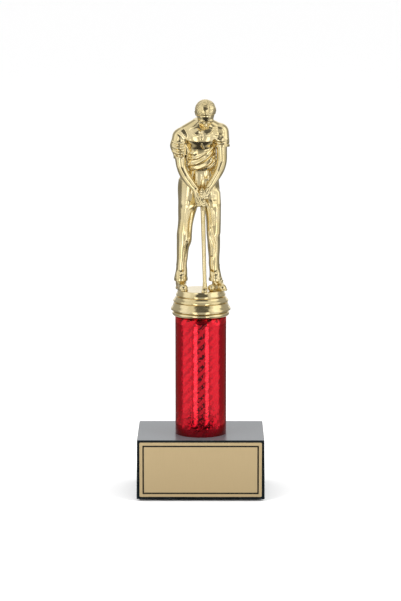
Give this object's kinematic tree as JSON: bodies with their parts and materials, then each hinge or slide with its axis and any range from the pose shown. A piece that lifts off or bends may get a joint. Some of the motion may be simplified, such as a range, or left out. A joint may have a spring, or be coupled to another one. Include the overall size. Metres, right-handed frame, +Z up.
{
  "type": "column trophy",
  "caption": "Golf trophy: a gilt golfer putting on a stepped cap, on a round red foil column, on a black stone base with a blank plate.",
  "frame": {"origin": "under the middle of the base and its plate, on the surface that the trophy stands on", "axes": "+Z up along the column, -Y the front with the plate, +X to the right seen from the front"},
  "size_m": [0.0768, 0.058, 0.2396],
  "materials": {
    "black_marble": "polished, near mirror",
    "felt": "matte pressed felt",
    "tape": "thin acrylic foam tape",
    "plate_metal": "satin gold anodised with a thin black border line",
    "tube_plastic": "plain extruded styrene",
    "red_foil": "mirror-like red holographic foil in fine cells",
    "gilt_plastic": "bright vacuum-plated gold",
    "zinc_steel": "bright zinc plated"
  },
  "bodies": {
    "base": {"marble_base": "black_marble", "felt_pads": "felt", "plate_tape": "tape", "engraving_plate": "plate_metal", "column_tube": "tube_plastic", "column_foil": "red_foil", "centring_plug": "tube_plastic", "column_lid": "gilt_plastic"},
    "figure": {"stepped_cap": "gilt_plastic", "golfer_front": "gilt_plastic", "golfer_back": "gilt_plastic", "putter": "gilt_plastic", "golf_ball": "gilt_plastic", "insert_nut": "zinc_steel", "threaded_rod": "zinc_steel"},
    "washers": {"flat_washer": "zinc_steel", "lock_washer": "zinc_steel"},
    "nut": {"clamp_nut": "zinc_steel"}
  },
  "joints": [
    {"name": "figure_turn", "type": "hinge", "parent": "base", "child": "figure", "pos_m": [0, -0.0052, 0.1122], "axis": [0, 0, 1], "continuous": true},
    {"name": "washer_drop", "type": "slide", "parent": "base", "child": "washers", "axis": [0, 0, -1], "range_m": [0, 0.00254]},
    {"name": "nut_turn", "type": "hinge", "parent": "washers", "child": "nut", "pos_m": [0, -0.0052, 0.0092], "axis": [0, 0, -1], "range_deg": [0, 720.5]}
  ],
  "couplings": [
    {"joint": "nut_turn", "follows": "washer_drop", "rad_per_m": 4947.4}
  ]
}
